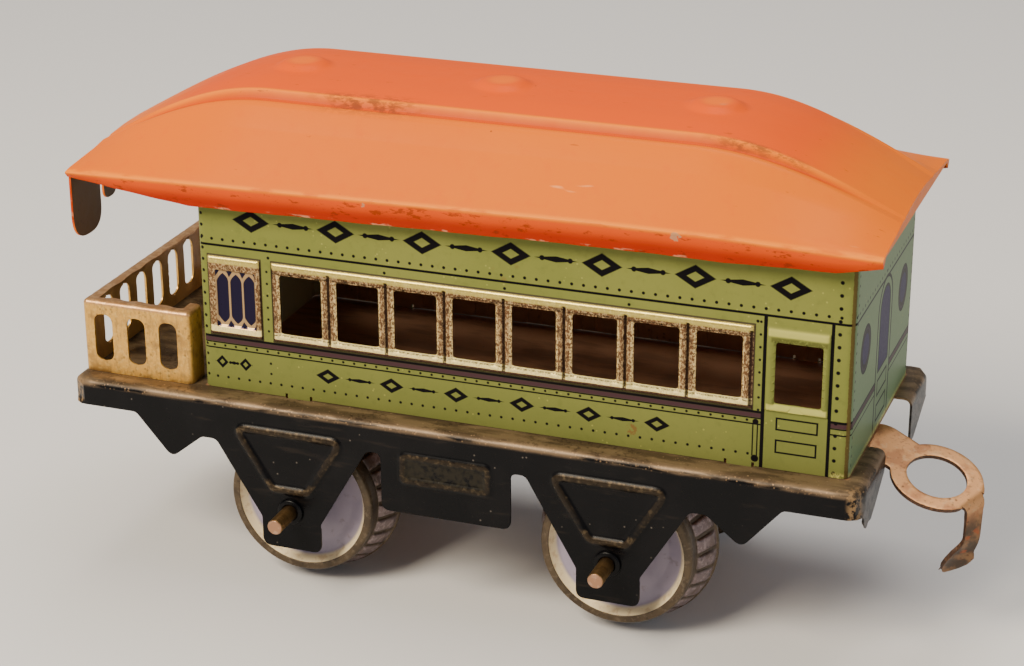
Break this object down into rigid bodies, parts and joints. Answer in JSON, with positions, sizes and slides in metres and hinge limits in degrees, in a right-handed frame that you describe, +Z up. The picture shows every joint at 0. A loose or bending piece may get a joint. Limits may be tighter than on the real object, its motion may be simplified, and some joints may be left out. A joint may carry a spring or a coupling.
{
  "type": "model passenger coach",
  "caption": "Tinplate toy observation coach: pressed roof, windowed body with open railed platform, stamped frame, rolling wheelsets and swinging ring-and-hook coupler.",
  "frame": {"origin": "on the ground, midway between the two axles and on the coach's centreline", "axes": "+X towards the coupler end, +Y to the coach's left, +Z up"},
  "size_m": [0.1563, 0.0684, 0.0878],
  "materials": {
    "black_tin": "black japanned tinplate, worn to bronze along the folds",
    "printed_tin": "olive-green lithographed tinplate with black lines and rivet dots",
    "roof_tin": "semi-gloss orange enamel on tinplate, scratched",
    "gold_tin": "gold-lacquered tinplate, speckled",
    "copper_tin": "copper-washed steel strip, tarnished",
    "white_face": "white enamel, slightly dirty",
    "tread_tin": "browned bare tinplate",
    "axle_steel": "brass-washed steel rod"
  },
  "bodies": {
    "coach": {"underframe": "black_tin", "body_right_side": "printed_tin", "body_left_side": "printed_tin", "body_front_end": "printed_tin", "body_rear_end": "printed_tin", "roof": "roof_tin", "platform_railing": "gold_tin", "coupler_rivet": "axle_steel"},
    "coupler_arm": {"coupler": "copper_tin"},
    "front_wheelset": {"front_axle": "axle_steel", "front_left_wheel_tread": "tread_tin", "front_left_wheel_face": "white_face", "front_right_wheel_tread": "tread_tin", "front_right_wheel_face": "white_face"},
    "rear_wheelset": {"rear_axle": "axle_steel", "rear_left_wheel_tread": "tread_tin", "rear_left_wheel_face": "white_face", "rear_right_wheel_tread": "tread_tin", "rear_right_wheel_face": "white_face"}
  },
  "joints": [
    {"name": "front_wheels_roll", "type": "hinge", "parent": "coach", "child": "front_wheelset", "pos_m": [0.0286, 0, 0.0156], "axis": [0, 1, 0], "continuous": true},
    {"name": "rear_wheels_roll", "type": "hinge", "parent": "coach", "child": "rear_wheelset", "pos_m": [-0.0286, 0, 0.0156], "axis": [0, 1, 0], "continuous": true},
    {"name": "coupler_swing", "type": "hinge", "parent": "coach", "child": "coupler_arm", "pos_m": [0.059, 0, 0.03375], "axis": [0, 0, 1], "range_deg": [-1, 45]}
  ]
}
